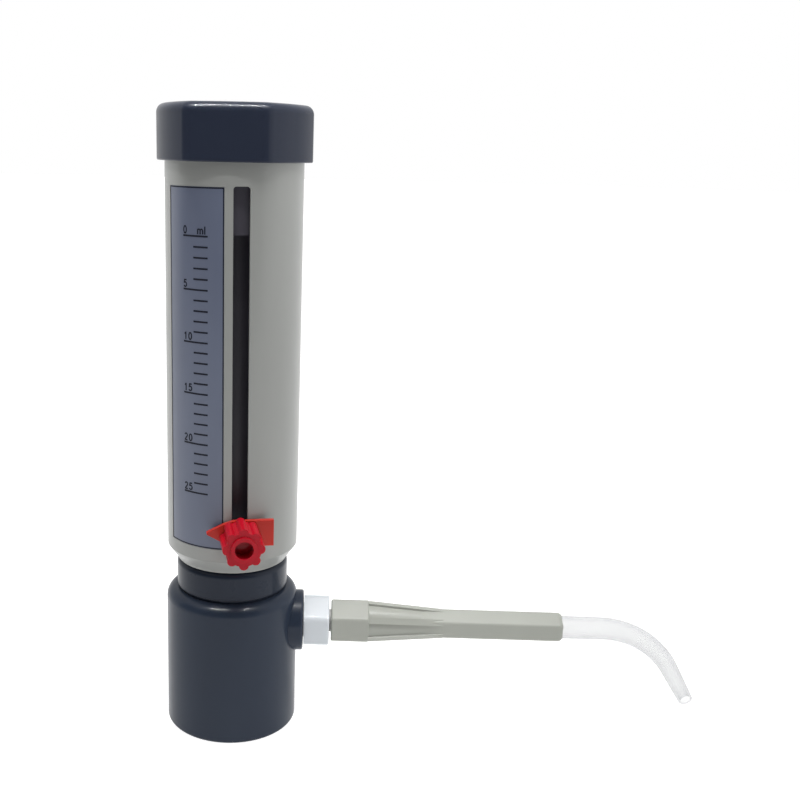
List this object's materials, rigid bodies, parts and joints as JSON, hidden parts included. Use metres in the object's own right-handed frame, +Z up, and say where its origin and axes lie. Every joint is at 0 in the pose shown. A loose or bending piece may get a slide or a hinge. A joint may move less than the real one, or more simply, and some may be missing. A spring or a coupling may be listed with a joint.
{
  "type": "bottle-top dispenser",
  "caption": "Bottle-top dispenser: screw-on base with valves, sliding graduated plunger sleeve, volume pointer with knob, and a side discharge arm with a curved jet.",
  "frame": {"origin": "centre of the base's underside, where the bottle neck enters", "axes": "+Z up along the plunger's axis, +X along the discharge arm, the scale faces -Y turned 10.8 degrees towards +X"},
  "size_m": [0.2253, 0.0711, 0.2514],
  "materials": {
    "dark_housing": "moulded polypropylene, satin gloss",
    "dark_ring": "moulded polypropylene, satin gloss",
    "dark_cap": "moulded polypropylene, satin gloss",
    "dark_jacket": "moulded polypropylene, satin",
    "grey_sleeve": "moulded polypropylene, satin gloss",
    "scale_label": "printed film",
    "grey_arm": "moulded polypropylene, satin gloss",
    "white_nut": "moulded polypropylene",
    "white_polymer": "turned fluoropolymer",
    "clear_jet": "formed translucent fluoropolymer tube",
    "clear_glass": "ground borosilicate glass",
    "valve_ball": "polished glass ball",
    "gasket": "fluoroelastomer",
    "spring_steel": "bright stainless steel",
    "red_pointer": "moulded red plastic, slightly translucent",
    "red_knob": "moulded red plastic, glossy"
  },
  "bodies": {
    "base": {"base_housing": "dark_housing", "neck_ring": "dark_ring", "bottle_gasket": "gasket", "valve_block": "white_polymer", "inlet_valve_body": "white_polymer", "inlet_ball_cage": "white_polymer", "cylinder_seal": "gasket", "glass_cylinder": "clear_glass", "cylinder_jacket": "dark_jacket", "stop_ring": "dark_jacket", "outlet_valve_body": "white_polymer", "outlet_seal": "gasket", "outlet_spring": "spring_steel"},
    "plunger": {"plunger_sleeve": "grey_sleeve", "scale_label": "scale_label", "guide_bush": "white_polymer", "plunger_cap": "dark_cap", "cap_disc": "dark_cap", "cap_screw": "spring_steel", "piston_rod": "grey_sleeve", "piston_head": "white_polymer", "piston_seals": "gasket"},
    "pointer": {"pointer_slider": "red_pointer", "pointer_clamp": "spring_steel"},
    "knob": {"pointer_knob": "red_knob"},
    "nut": {"union_nut": "white_nut"},
    "arm": {"discharge_arm": "grey_arm", "arm_spigot": "white_polymer", "discharge_jet": "clear_jet"},
    "inlet_ball_body": {"inlet_ball": "valve_ball"},
    "outlet_ball_body": {"outlet_ball": "valve_ball"}
  },
  "joints": [
    {"name": "plunger_slide", "type": "slide", "parent": "base", "child": "plunger", "axis": [0, 0, 1], "range_m": [0, 0.1121]},
    {"name": "pointer_slide", "type": "slide", "parent": "plunger", "child": "pointer", "axis": [0, 0, 1], "range_m": [0, 0.1121]},
    {"name": "knob_turn", "type": "hinge", "parent": "pointer", "child": "knob", "pos_m": [0, 0, 0.09], "axis": [0.1874, -0.9823, 0], "range_deg": [0, 270]},
    {"name": "nut_turn", "type": "hinge", "parent": "base", "child": "nut", "pos_m": [0.03, 0, 0.0431], "axis": [1, 0, 0], "continuous": true},
    {"name": "arm_swivel", "type": "hinge", "parent": "base", "child": "arm", "pos_m": [0.0417, 0, 0.0431], "axis": [1, 0, 0], "continuous": true},
    {"name": "inlet_ball_lift", "type": "slide", "parent": "base", "child": "inlet_ball_body", "axis": [0, 0, 1], "range_m": [0, 0.0015]},
    {"name": "outlet_ball_lift", "type": "slide", "parent": "base", "child": "outlet_ball_body", "axis": [1, 0, 0], "range_m": [0, 0.0012], "stiffness_N_per_m": 40, "springref_m": -0.002, "deforming": ["outlet_spring"]}
  ]
}
